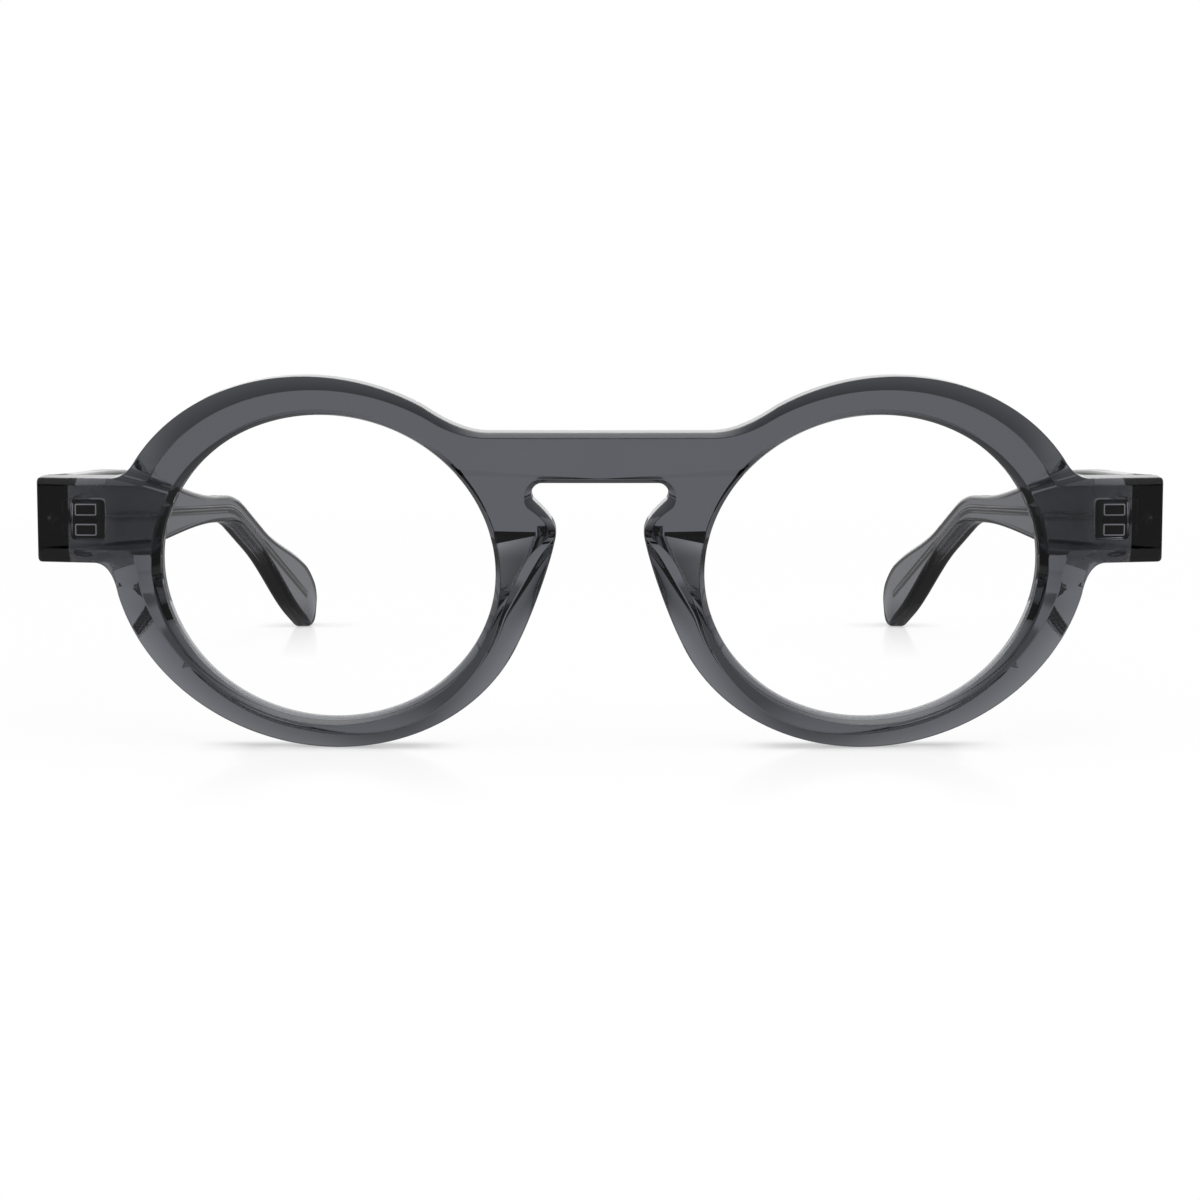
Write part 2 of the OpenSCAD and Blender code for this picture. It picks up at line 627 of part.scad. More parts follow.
// Knuckle with its web to the sunk leaf, drilled for the screw; the web starts at web_z, which
// keeps it clear of the leaf's round corner
module front_knuckle(z, web_z) {
    difference() {
        union() {
            translate([axis_x, axis_y, z])
                cylinder(h = outer_h, r = knuckle_r);
            translate([axis_x - knuckle_r, lug_back - leaf_t / 2, web_z])
                cube([2 * knuckle_r, axis_back + leaf_t / 2, outer_h - leaf_r]);
        }
        translate([axis_x, axis_y, z - over])
            cylinder(h = outer_h + 2 * over, r = screw_r + fit_gap);
    }
}

// Leg with a foot, which holds the sunk leaf in the end piece
module anchor(z) {
    from_y = lug_back - pocket_d + fit_gap;
    translate([leaf_mid - anchor_out - leg_w / 2, from_y, z - leg_h / 2])
        cube([leg_w, pocket_d - leaf_t / 2, leg_h]);
    translate([leaf_mid - anchor_out - foot_w / 2, from_y, z - leg_h])
        cube([foot_w, foot_t, 2 * leg_h]);
}

module front_hinge_leaf(side) {
    color(dark_metal)
        on_side(side)
            difference() {
                union() {
                    into_lug(0, leaf_t);
                    front_knuckle(low_z, low_z + leaf_r);
                    front_knuckle(high_z - outer_h, high_z - outer_h);
                    for (share = [-1, 1])
                        anchor(hinge_z + share * hinge_h / 4);
                }
                translate([axis_x, axis_y, high_z - screw_head_h])
                    cylinder(h = screw_head_h + over, r = screw_head_r + fit_gap);
            }
}

module hinge_screw(side) {
    color(steel)
        on_side(side)
            translate([axis_x, axis_y, 0])
                difference() {
                    union() {
                        translate([0, 0, low_z])
                            cylinder(h = hinge_h - screw_head_h / 2, r = screw_r);
                        translate([0, 0, high_z - screw_head_h + fit_gap])
                            cylinder(h = screw_head_h - fit_gap, r = screw_head_r);
                    }
                    translate([-screw_head_r - over, -slot_w / 2, high_z - slot_w])
                        cube([2 * (screw_head_r + over), slot_w, slot_w + over]);
                }
}

// The leaf in the temple's inner side, along its toed-in line, or its pocket
module temple_leaf_plate(more, out) {
    translate([inner_x, butt_y, hinge_z])
        rotate([0, 0, -arm_toe])
            translate([-leaf_t - more, leaf_from - more, -temple_leaf_h / 2 - more])
                cube([leaf_t + more + out, leaf_len + 2 * more, temple_leaf_h + 2 * more]);
}

module temple_hinge_leaf(side) {
    color(dark_metal)
        on_side(side)
            difference() {
                union() {
                    temple_leaf_plate(0, 0);
                    translate([axis_x, axis_y, mid_z])
                        cylinder(h = knuckle_mid_h, r = knuckle_r);
                    translate([inner_x - leaf_t / 2, axis_y, mid_z])
                        cube([axis_in + leaf_t / 2, knuckle_r, knuckle_mid_h]);
                }
                translate([axis_x, axis_y, mid_z - over])
                    cylinder(h = knuckle_mid_h + 2 * over, r = screw_r + run_gap);
            }
}

module temple(side) {
    color(temple_acetate)
        on_side(side)
            difference() {
                polyhedron(arm_points, loft_faces(len(arm_stations), 4 * len(edge_turns)));
                temple_leaf_plate(fit_gap, over);
                polyhedron(core_points(core_d / 2 + fit_gap, -over, fit_gap),
                    loft_faces(len(core_stations), core_sides));
            }
}

module core_wire(side) {
    color(steel)
        on_side(side)
            polyhedron(core_points(core_d / 2, core_from, 0), loft_faces(len(core_stations), core_sides));
}

front_frame();
lens(-1);  // lens_left
lens(1);  // lens_right
nose_pad(-1);  // nose_pad_left
nose_pad(1);  // nose_pad_right
front_hinge_leaf(-1);  // front_hinge_leaf_left
front_hinge_leaf(1);  // front_hinge_leaf_right
temple_hinge_leaf(-1);  // temple_hinge_leaf_left
temple_hinge_leaf(1);  // temple_hinge_leaf_right
hinge_screw(-1);  // hinge_screw_left
hinge_screw(1);  // hinge_screw_right
temple(-1);  // temple_left
temple(1);  // temple_right
core_wire(-1);  // core_wire_left
core_wire(1);  // core_wire_right
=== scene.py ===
import json
import math

import bmesh
import bpy
from mathutils import Matrix, Vector


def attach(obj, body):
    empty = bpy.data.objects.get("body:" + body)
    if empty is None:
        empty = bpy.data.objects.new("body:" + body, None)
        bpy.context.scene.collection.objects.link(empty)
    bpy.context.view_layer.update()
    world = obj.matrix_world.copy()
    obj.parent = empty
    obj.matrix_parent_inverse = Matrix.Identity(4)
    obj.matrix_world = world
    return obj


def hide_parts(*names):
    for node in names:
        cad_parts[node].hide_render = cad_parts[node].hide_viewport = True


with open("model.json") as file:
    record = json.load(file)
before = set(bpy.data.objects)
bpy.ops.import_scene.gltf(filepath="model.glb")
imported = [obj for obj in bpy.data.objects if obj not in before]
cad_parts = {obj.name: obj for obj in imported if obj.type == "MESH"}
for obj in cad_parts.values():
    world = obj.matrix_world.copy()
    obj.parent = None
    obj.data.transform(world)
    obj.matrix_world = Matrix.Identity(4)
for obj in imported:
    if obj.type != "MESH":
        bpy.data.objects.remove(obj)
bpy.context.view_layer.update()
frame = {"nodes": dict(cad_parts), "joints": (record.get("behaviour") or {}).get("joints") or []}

mm = 0.001
SIDES = ("left", "right")


# Values in a material, written as Python expressions
class Value:
    def __init__(self, tree, socket):
        self.tree = tree
        self.socket = socket

    def math(self, operation, *others):
        node = self.tree.nodes.new("ShaderNodeMath")
        node.operation = operation
        for slot, item in zip(node.inputs, (self,) + others):
            plug(self.tree, slot, item)
        return Value(self.tree, node.outputs[0])

    def __add__(self, other):
        return self.math("ADD", other)

    def __mul__(self, other):
        return self.math("MULTIPLY", other)

    def __sub__(self, other):
        return self.math("SUBTRACT", other)

    def __rsub__(self, other):
        return (self * -1.0) + other

    def __truediv__(self, other):
        return self.math("DIVIDE", other)

    def __pow__(self, other):
        return self.math("POWER", other)

    def clamped(self):
        return self.math("MINIMUM", 1.0).math("MAXIMUM", 0.0)

    __radd__ = __add__


def plug(tree, socket, item):
    if isinstance(item, Value):
        tree.links.new(item.socket, socket)
    else:
        socket.default_value = item


class Nodes:
    """A node tree that is filled by one method for any node."""

    def __init__(self, tree):
        self.tree = tree
        self.tree.nodes.clear()

    def node(self, kind, settings=None, out=0, **sockets):
        """Adds a node with its settings, and the values or links of its sockets by name or number."""
        node = self.tree.nodes.new("ShaderNode" + kind)
        for name, value in (settings or {}).items():
            setattr(node, name, value)
        for name, value in sockets.items():
            numbered = name[0] == "i" and name[1:].isdigit()
            socket = node.inputs[int(name[1:]) if numbered else name.replace("_", " ")]
            plug(self.tree, socket, value)
        return Value(self.tree, node.outputs[out])

    def eased(self, value, low, high, start=0.0, end=1.0):
        """Goes softly from start to end as the value goes from low to high."""
        return self.node("MapRange", {"interpolation_type": "SMOOTHSTEP"}, Value=value,
                         From_Min=low, From_Max=high, To_Min=start, To_Max=end)

    def near(self, value, middle, inner, outer):
        """1 up to inner away from the middle, and softly down to 0 at outer."""
        return self.eased((value - middle).math("ABSOLUTE"), inner, outer, 1.0, 0.0)

    def parts(self, vector):
        """The three coordinates of a vector."""
        outputs = self.node("SeparateXYZ", Vector=vector).socket.node.outputs
        return [Value(self.tree, output) for output in outputs]

    def length(self, vector):
        return self.node("VectorMath", {"operation": "LENGTH"}, out=1, i0=vector)

    def blend(self, share, low, high):
        """Mixes two colours."""
        return self.node("Mix", {"data_type": "RGBA"}, out=2, i0=share, i6=low, i7=high)


class Finish(Nodes):
    """A material and its node tree."""

    def __init__(self, name):
        self.material = bpy.data.materials.new(name)
        self.material.use_nodes = True
        super().__init__(self.material.node_tree)
        self.output = self.tree.nodes.new("ShaderNodeOutputMaterial")

    def place(self):
        """Where a point of the surface lies in its piece's own frame, in metres."""
        return self.node("TexCoord", out=3)

    def noise(self, scale, detail=3.0, roughness=0.5, stretch=(1, 1, 1)):
        where = self.node("Mapping", i0=self.place(), Scale=stretch)
        return self.node("TexNoise", i0=where, Scale=scale, Detail=detail, Roughness=roughness)

    def edge_on(self):
        """From 0 where a surface faces the eye to 1 where it is seen edge on."""
        return self.node("LayerWeight", out=1, Blend=0.5)

    def surface(self, value):
        self.tree.links.new(value.socket, self.output.inputs["Surface"])
        return self

    def volume(self, value):
        self.tree.links.new(value.socket, self.output.inputs["Volume"])
        return self


def rgb(r, g, b):
    return (r, g, b, 1.0)


def see_through(name, density):
    """Polished acetate: clear at its skin, and smoky by the depth that light goes through."""
    f = Finish(name)
    cloud = f.noise(90.0, 4.0)
    rub = f.noise(1400.0, 2.0, 0.6, (1, 0.35, 1))
    skin = f.blend(cloud, rgb(0.955, 0.955, 0.965), rgb(1.0, 1.0, 1.0))
    ripple = f.node("Bump", Strength=0.015, Distance=0.02 * mm, Height=f.noise(260.0, 1.0))
    f.surface(f.node("BsdfPrincipled", Base_Color=skin, Roughness=rub * 0.02, IOR=1.49,
                     Transmission_Weight=1.0, Normal=ripple))
    return f.volume(f.node("VolumeAbsorption", Color=smoke, Density=density)).material


def clear_lens():
    """Thin clear lens: light goes straight through, and its surface mirrors a little."""
    f = Finish("clear_lens")
    smear = f.noise(60.0, 2.0)
    through = f.node("BsdfTransparent")
    tint = f.blend(smear, rgb(0.02, 0.02, 0.02), rgb(0.03, 0.03, 0.03))
    gloss = f.node("BsdfPrincipled", Base_Color=tint, Roughness=smear * 0.01, IOR=1.5)
    mirror = (f.edge_on() ** 3.0) * 0.4
    return f.surface(f.node("MixShader", i0=mirror, i1=through, i2=gloss)).material


def metal(name, colour, dark, roughness, brushed):
    """Drawn or milled metal with a fine grain, brushed along one way."""
    f = Finish(name)
    grain = f.noise(900.0, 3.0, 0.6, brushed)
    spots = f.noise(220.0, 4.0)
    tone = f.blend(spots, dark, colour)
    ripple = f.node("Bump", Strength=0.12, Distance=0.01 * mm, Height=grain)
    return f.surface(f.node("BsdfPrincipled", Base_Color=tone, Metallic=1.0,
                            Roughness=roughness + grain * 0.15, Normal=ripple)).material


def glowing_edge():
    """The sunk leaf's broken edges: pale, rubbed matt metal that also glows, a painted highlight
    standing in for the glints of the light that gets in.
    """
    f = Finish("hinge_edge_glow")
    rub = f.noise(500.0, 3.0)
    tone = f.blend(rub, rgb(0.70, 0.70, 0.72), rgb(0.86, 0.86, 0.88))
    # The emission is a painted highlight on the edges, not a lamp
    return f.surface(f.node("BsdfPrincipled", Base_Color=tone, Metallic=0.2,
                            Roughness=0.45 + rub * 0.1,
                            Emission_Color=tone, Emission_Strength=0.6)).material


smoke = rgb(0.56, 0.566, 0.589)
upright_grain = (1, 1, 0.2)
length_grain = (1, 0.1, 1)
front_acetate = see_through("front_acetate", 760.0)
temple_acetate = see_through("temple_acetate", 920.0)
lens_clear = clear_lens()
hinge_metal = metal("hinge_metal", rgb(0.18, 0.18, 0.20), rgb(0.10, 0.10, 0.11), 0.22, upright_grain)
# The leaf's edges glow: a painted highlight
hinge_edge_glow = glowing_edge()
screw_steel = metal("screw_steel", rgb(0.62, 0.62, 0.64), rgb(0.45, 0.45, 0.47), 0.18, upright_grain)
core_steel = metal("core_steel", rgb(0.52, 0.52, 0.55), rgb(0.40, 0.40, 0.43), 0.28, length_grain)


# Shapes
def deselect():
    bpy.ops.object.select_all(action="DESELECT")


def only(piece):
    deselect()
    piece.select_set(True)
    bpy.context.view_layer.objects.active = piece


def copy_of(node, name):
    """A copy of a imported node's mesh, with its loose triangles merged."""
    piece = frame["nodes"][node].copy()
    piece.data = piece.data.copy()
    piece.name = name
    bpy.context.collection.objects.link(piece)
    only(piece)
    bpy.ops.object.mode_set(mode="EDIT")
    bpy.ops.mesh.select_all(action="SELECT")
    bpy.ops.mesh.remove_doubles(threshold=0.001 * mm)
    bpy.ops.object.mode_set(mode="OBJECT")
    return piece


def even_normals(piece):
    """Smooths over the rounded edges and keeps the wide faces flat."""
    only(piece)
    bpy.ops.object.shade_smooth_by_angle(angle=math.radians(38))
    even = piece.modifiers.new("even", "WEIGHTED_NORMAL")
    even.keep_sharp = True
    bpy.ops.object.modifier_apply(modifier="even")


def combine(piece, other, operation):
    """Adds the other piece to this one, or cuts it out, and takes it away."""
    join = piece.modifiers.new("join", "BOOLEAN")
    join.operation = operation
    join.solver = "EXACT"
    join.object = other
    only(piece)
    bpy.ops.object.modifier_apply(modifier="join")
    bpy.data.objects.remove(other)


def make_piece(name, points, faces, mirrored=False):
    """A closed mesh from points in mm in the upright frame, stood as the glasses stand."""
    bm = bmesh.new()
    for p in points:
        bm.verts.new(stand @ Vector((-p[0] if mirrored else p[0], p[1], p[2])))
    bm.verts.ensure_lookup_table()
    for face in faces:
        bm.faces.new([bm.verts[i] for i in face])
    bmesh.ops.remove_doubles(bm, verts=bm.verts, dist=0.0005 * mm)
    bmesh.ops.recalc_face_normals(bm, faces=bm.faces)
    mesh = bpy.data.meshes.new(name)
    bm.to_mesh(mesh)
    bm.free()
    piece = bpy.data.objects.new(name, mesh)
    bpy.context.collection.objects.link(piece)
    return piece


def loft_faces(sections, around):
    """Faces over closed sections of the same number of points, with both ends closed."""
    faces = [list(range(around)), [(sections - 1) * around + i for i in range(around)]]
    for i in range(sections - 1):
        for j in range(around):
            a = i * around + j
            b = i * around + (j + 1) % around
            faces.append([a, b, b + around, a + around])
    return faces


def finish_piece(piece, material, body, slot, *nodes):
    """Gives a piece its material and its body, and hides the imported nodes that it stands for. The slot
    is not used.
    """
    even_normals(piece)
    piece.data.materials.clear()
    piece.data.materials.append(material)
    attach(piece, body)
    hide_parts(*nodes)


# Curves, in mm
def mix(a, b, t):
    return a + (b - a) * t


def curve3(a, b, c, t):
    return mix(mix(a, b, t), mix(b, c, t), t)


def curve4(a, b, c, d, t):
    return mix(curve3(a, b, c, t), curve3(b, c, d, t), t)


def smooth(t):
    u = max(0.0, min(1.0, t))
    return u * u * (3 - 2 * u)


def steps(n):
    return [i / n for i in range(n)]


def turned(degrees):
    return Vector((math.cos(math.radians(degrees)), math.sin(math.radians(degrees))))


class Oval:
    """An oval seen from the front: its centre, its half sizes and its turn in degrees."""

    def __init__(self, centre, half, turn):
        self.centre = Vector(centre)
        self.half = Vector(half)
        self.turn = turn

    def at(self, angle):
        along = turned(self.turn)
        out = turned(angle)
        wide = self.half.x * out.x
        high = self.half.y * out.y
        return self.centre + Vector((wide * along.x - high * along.y, wide * along.y + high * along.x))

    def changed(self, shift, more, turn=None):
        turn = self.turn if turn is None else turn
        return Oval(self.centre + Vector(shift), self.half + Vector(more), turn)

    def grown(self, more):
        return self.changed((0, 0), (more, more))

    def angle_at(self, height, outer):
        """The angle at which it reaches a height, on its outer side or towards the nose."""
        side = self.half.x * turned(self.turn).y
        up = self.half.y * turned(self.turn).x
        reach = math.hypot(side, up)
        base = math.degrees(math.atan2(up, side))
        spread = math.degrees(math.acos((height - self.centre.y) / reach))
        return base + spread if outer else base - spread


# The front's sizes in mm, as in its solid, for the left eye seen from the front
opening = Oval((-34.8, 22.8), (21.55, 19.45), -8.5)
rim = opening.changed((-0.9, 0.65), (5.8, 4.1), -13.0)
crease = rim.changed((1.5, 0.45), (-1.75, -2.1))
mouth = opening.changed((-0.15, -0.05), (0.85, 0.425))
bridge_top = 40.2
bridge_low = 33.8
bridge_bevel = 0.6
lug_bevel_top = 0.8
lug_bevel_low = 1.9
nose_gap = 11.2
nose_z = 27.0
nose_bevel = 0.9
nose_rise = 4.0
nose_straight = 1.5
nose_step = 0.5
nose_pull = Vector((0.5, 3.0))
keyhole_w = 14.7
keyhole_r = 1.35
valley_x = 14.2
end_x = 72.4
lug_z = 23.0
lug_top = 33.95
lug_seat = 10.6
lug_r = 0.6
least_r = 0.15
front_t = 6.5
bevel_t = 1.6
back_edge = 0.4
crease_round = 0.12
front_round = 0.3
back_round = 0.16
groove_round = 0.08
round_share = 0.42
wrap_r = 380.0
groove_y = 2.9
groove_w = 1.6
groove_d = 0.75
carve_d = 2.1
carve_low = 0.45
carve_w = 5.6
carve_low_w = 1.0
carve_curve = 1.5
ledge_z = 27.3
ledge_drop = 1.45
fillet_top = 1.9
fillet_low = 2.3
crease_fillet = 0.25
close_by = 2
crease_off = 275.0
crease_on = 320.0
crease_gap = (2.1, 1.4)
crease_pull = Vector((2.9, 2.2))
crease_rise = 5.5
seat_x = end_x - lug_seat
seat_ease = 3.4
seat_margin = 0.5
hinge_z = (lug_z + lug_top) / 2
lug_back = front_t + (end_x - lug_seat / 2) ** 2 / (2 * wrap_r)

# The hinge's axis says how the upright shapes stand on the ground
knuckle_r = 1.2
axis_x = -66.65
axis_out = 1.5
axis_y = lug_back + axis_out
fold = next(joint for joint in frame["joints"] if joint["name"] == "fold_left")
lean = Matrix.Rotation(math.asin(fold["axis"][1]), 4, "X")
axis_place = mm * Vector((axis_x, axis_y, hinge_z))
stand = Matrix.Translation(Vector(fold["pos_m"]) - lean @ axis_place) @ lean @ Matrix.Scale(mm, 4)

# The angles in degrees at which the rim's oval starts and stops over the eye and goes on under the
# end piece, at which the nose side leaves it on the edge and on the face, and at which the
# keyhole's arc starts
rim_from = 72
rim_to = 162
rim_on = 206
edge_leave = 350
face_leave = 338
notch_at = 215

# The angles round the opening at which the seat's line closes in on it, and the back is cut away
seat_in_from = 191
seat_in_ease = 14
carve_from = 205
carve_ease = 40

# Stations on each stretch of the half outline, three times as many as in the solid except on the
# ledge, and the opening's angle where each one starts
fine = 3
under_from = 196
nose_from = 351.0
ledge_from = 360 + opening.angle_at(ledge_z - ledge_drop, False)
ledge_to = 360 + opening.angle_at(ledge_z, False)
notch_after = 5.3
notch_from = ledge_to + notch_after
stretch_n = [n * fine for n in (3, 5, 20, 5, 1, 4, 2, 4, 1, 6, 30, 8)]
stretch_n += [1] + [n * fine for n in (5, 6, 2)]
stretch_at = (50, 54, 63, 158, 163, 166, 171, 175, 179, 182, under_from, nose_from, ledge_from,
              ledge_to, notch_from, 407, 410)
turns = [mix(start, end, t) for start, end, n in zip(stretch_at, stretch_at[1:], stretch_n)
         for t in steps(n)] + [stretch_at[-1]]


def half_outline(e, top, low, lug_hi, lug_lo, inset, corner, leave, fillet=1.0):
    """From the middle of the bridge's top, over the rim and round the end piece, under the rim,
    up the nose side and through the keyhole to the middle of the bridge."""
    x_end = -end_x + min(inset, lug_r) / 2
    valley = e.at(e.angle_at(top, False))
    joint_hi = e.at(e.angle_at(lug_hi, True)).x
    joint_lo = e.at(e.angle_at(lug_lo, True)).x
    from_hi = Vector((joint_hi - fillet * fillet_top, lug_hi))
    from_lo = Vector((joint_lo - fillet * fillet_low, lug_lo))
    nose_lo = e.at(leave)
    rise = (nose_lo - e.at(leave - nose_rise)).normalized() * nose_rise
    nose_hi = Vector((-nose_gap / 2 - inset, nose_z))
    nose_top = nose_hi + Vector((0, nose_step))
    nose_over = nose_top + Vector((0, nose_straight))
    arc_r = keyhole_r + inset
    arc = Vector((-keyhole_w / 2, low - arc_r))
    notch = arc + arc_r * turned(notch_at)
    end_hi = Vector((x_end + corner, lug_hi))
    end_lo = Vector((x_end + corner, lug_lo))
    side_hi = Vector((x_end, lug_hi - corner))
    side_lo = Vector((x_end, lug_lo + corner))
    flat = Vector((-valley_x, top))
    stretches = [
        lambda t: mix(Vector((0, top)), flat, t),
        lambda t: curve3(flat, Vector((valley.x, top)), e.at(rim_from), t),
        lambda t: e.at(mix(rim_from, rim_to, t)),
        lambda t: curve3(e.at(rim_to), Vector((joint_hi, lug_hi)), from_hi, t),
        lambda t: mix(from_hi, end_hi, t),
        lambda t: curve3(end_hi, Vector((x_end, lug_hi)), side_hi, t),
        lambda t: mix(side_hi, side_lo, t),
        lambda t: curve3(side_lo, Vector((x_end, lug_lo)), end_lo, t),
        lambda t: mix(end_lo, from_lo, t),
        lambda t: curve3(from_lo, Vector((joint_lo, lug_lo)), e.at(rim_on), t),
        lambda t: e.at(mix(rim_on, leave, t)),
        lambda t: curve4(nose_lo, nose_lo + rise, nose_hi - nose_pull, nose_hi, t),
        lambda t: mix(nose_hi, nose_top, t),
        lambda t: curve4(nose_top, nose_over, mix(notch, nose_over, 0.5), notch, t),
        lambda t: arc + arc_r * turned(mix(notch_at, 90, t)),
        lambda t: mix(Vector((arc.x, low)), Vector((0, low)), t)]
    return [f(t) for f, n in zip(stretches, stretch_n) for t in steps(n)] + [Vector((0, low))]


def wrap(x):
    return x * x / (2 * wrap_r)


def back_y(x):
    """The back follows the front's curve, and rises to the flat seat of the end piece."""
    rise = smooth((abs(x) - seat_x + seat_ease) / seat_ease)
    return mix(front_t + wrap(x), lug_back, rise)


def on_oval(e, angle, y):
    p = e.at(angle)
    return Vector((p.x, wrap(p.x) + y, p.y))


def rounded(before, corner, after, setback, n):
    """Points of a small round in place of a corner."""
    a = before - corner
    b = after - corner
    reach = min(setback, round_share * a.length, round_share * b.length)
    start = corner + a.normalized() * reach
    end = corner + b.normalized() * reach
    return [curve3(start, corner, end, i / n) for i in range(n + 1)]


def beside(angle):
    """The crease's place beside the opening, under the eye."""
    return opening.grown(mix(*crease_gap, (angle - crease_on) / (nose_from - crease_on))).at(angle)


def crease_place(i, line):
    """The crease leaves its oval under the eye, follows the opening, and turns up to the nose side."""
    a = turns[i]
    if a <= crease_off or a >= ledge_from:
        return line[i]
    if a < nose_from:
        return mix(line[i], beside(a), smooth((a - crease_off) / (crease_on - crease_off)))
    start = beside(nose_from)
    way = start - opening.grown(crease_gap[1]).at(nose_from - nose_rise)
    end = Vector((-nose_gap / 2 - nose_bevel, nose_z))
    return curve4(start, start + way.normalized() * crease_rise, end - crease_pull, end,
                  (a - nose_from) / (ledge_from - nose_from))


def carve(angle):
    """How deep and how wide the back is cut away beside the opening, up to the ledge by the nose."""
    rise = max(0.0, (angle - nose_from) / (ledge_from - nose_from))
    deep = carve_d * mix(carve_low, 1, rise) * smooth((angle - carve_from) / carve_ease)
    if angle > ledge_from:
        deep = 0.0
    return deep, mix(carve_low_w, carve_w, rise ** carve_curve)


def front_section(i, edge, face, back):
    """One section of the front, from the bevel's crease over the outside and the back, through
    the opening with its groove, to the mouth."""
    a = turns[i]
    e, f, b = edge[i], face[i], back[i]
    inside = 2 * f - e
    past = 2 * b - e
    crease_p = Vector((f.x, wrap(f.x), f.y))
    front_p = Vector((e.x, wrap(e.x) + bevel_t, e.y))
    outer_p = Vector((e.x, back_y(b.x) - back_edge, e.y))
    back_p = Vector((b.x, back_y(b.x), b.y))
    # The seat's inner line: where the end piece starts, and half way between opening and edge
    o = opening.at(a)
    if b.x < -seat_x:
        t = (seat_x + o.x) / (o.x - b.x)
    else:
        t = 1 - 0.5 * smooth((b.x + seat_x) / seat_ease)
    q = mix(o, b, min(t, 1 - seat_margin / (b - o).length))
    deep, broad = carve(a)
    if a == ledge_to:
        q = Vector((opening.grown(carve_w).at(ledge_from).x, ledge_z))
    elif b.x >= -seat_x and a <= ledge_from:
        q = mix(q, opening.grown(broad).at(a), smooth((a - seat_in_from) / seat_in_ease))
    seat_p = Vector((q.x, back_y(q.x), q.y))
    wide = on_oval(opening.grown(back_edge), a, front_t - deep)
    far = on_oval(opening.grown(back_edge + close_by), a, front_t)
    if under_from < a <= ledge_to:
        far = seat_p
    inner = on_oval(opening, a, front_t - deep - back_edge)
    groove_hi = on_oval(opening, a, groove_y + groove_w / 2)
    groove = on_oval(opening.grown(groove_d), a, groove_y)
    groove_lo = on_oval(opening, a, groove_y - groove_w / 2)
    lip = on_oval(mouth, a, 0)
    # The face between lip and crease may be too narrow for a point of its own beside each round
    before = Vector((inside.x, wrap(inside.x), inside.y))
    after = on_oval(mouth.grown(close_by), a, 0)
    if (crease_p - lip).length < close_by:
        before, after = lip, crease_p
    return (rounded(before, crease_p, front_p, crease_round, 3)
            + rounded(crease_p, front_p, outer_p, front_round, 3)
            + rounded(front_p, outer_p, back_p, back_round, 2)
            + rounded(outer_p, back_p, Vector((past.x, back_y(past.x), past.y)), back_round, 2)
            + [seat_p]
            + rounded(far, wide, inner, back_round, 2)
            + rounded(wide, inner, groove_hi, back_round, 2)
            + rounded(inner, groove_hi, groove, groove_round, 2)
            + rounded(groove_hi, groove, groove_lo, groove_round, 2)
            + rounded(groove, groove_lo, lip, groove_round, 2)
            + rounded(groove_lo, lip, after, crease_round, 3))


def front_shell():
    """The front without its pads and pockets: both halves lofted section by section."""
    edge = half_outline(rim, bridge_top, bridge_low, lug_top, lug_z, 0, lug_r, edge_leave)
    face = half_outline(crease, bridge_top - bridge_bevel, bridge_low + bridge_bevel,
                        lug_top - lug_bevel_top, lug_z + lug_bevel_low, nose_bevel, least_r,
                        face_leave, crease_fillet)
    back = half_outline(rim.grown(-back_edge), bridge_top - back_edge, bridge_low + back_edge,
                        lug_top - back_edge, lug_z + back_edge, back_edge, lug_r, edge_leave)
    face = [crease_place(i, face) for i in range(len(turns))]
    sections = [front_section(i, edge, face, back) for i in range(len(turns))]
    around = len(sections[0])
    last = len(sections) - 1
    # Which point of a section lies on the seat's inner line
    seat = 14
    points = []
    faces = []
    for side in (1, -1):
        base = len(points)
        points += [Vector((side * p.x, p.y, p.z)) for section in sections for p in section]

        def at(i, k):
            return base + i * around + k % around

        faces += [[at(i, k), at(i + 1, k), at(i + 1, k + 1), at(i, k + 1)]
                  for i in range(last) for k in range(around)]
        faces.append([at(0, around - 1), at(0, 0), at(last, 0)])
        faces.append([at(0, seat - 1), at(0, seat), at(0, seat + 1), at(last, seat), at(last, seat - 1)])
    return make_piece("front", points, faces), edge


def tool_box(low, high, rounding=0.0, turn=0.0, about=(0, 0)):
    """A box in mm in the upright frame, stood as the glasses stand, to cut or to add."""
    bpy.ops.mesh.primitive_cube_add(size=1.0)
    tool = bpy.context.object
    size = Vector(high) - Vector(low)
    tool.data.transform(Matrix.Diagonal((*size, 1.0)))
    if rounding:
        bm = bmesh.new()
        bm.from_mesh(tool.data)
        upright = [e for e in bm.edges if abs(e.verts[0].co.y - e.verts[1].co.y) > 0.5 * size.y]
        bmesh.ops.bevel(bm, geom=upright, offset=rounding, segments=4, profile=0.5, affect="EDGES")
        bm.to_mesh(tool.data)
        bm.free()
    middle = (Vector(low) + Vector(high)) / 2
    pivot = Matrix.Translation((about[0], about[1], 0))
    tool.data.transform(stand @ pivot @ Matrix.Rotation(math.radians(turn), 4, "Z") @ pivot.inverted()
                        @ Matrix.Translation(middle))
    return tool


# The front, with the nose pads in one piece with it
leaf_w = 4.4
leaf_t = 0.9
slack = 0.05
hinge_h = 5.2
pocket_d = 3.0
fit_gap = 0.04
leaf_mid = axis_x - knuckle_r + leaf_w / 2
tongue_h = 0.85
tongue_len = 3.5
pad_t = 3.4
pad_fall = 0.97
pad_top = 28.1
pad_slant = 1.6
pad_low = 12.0
pad_margin = 0.4
pad_sunk = 0.6
pad_end = 0.06
pad_slant_n = 6
pad_n = 26
pad_from = 300
pad_to = 386
past_face = 1.0
pocket_r = 0.5


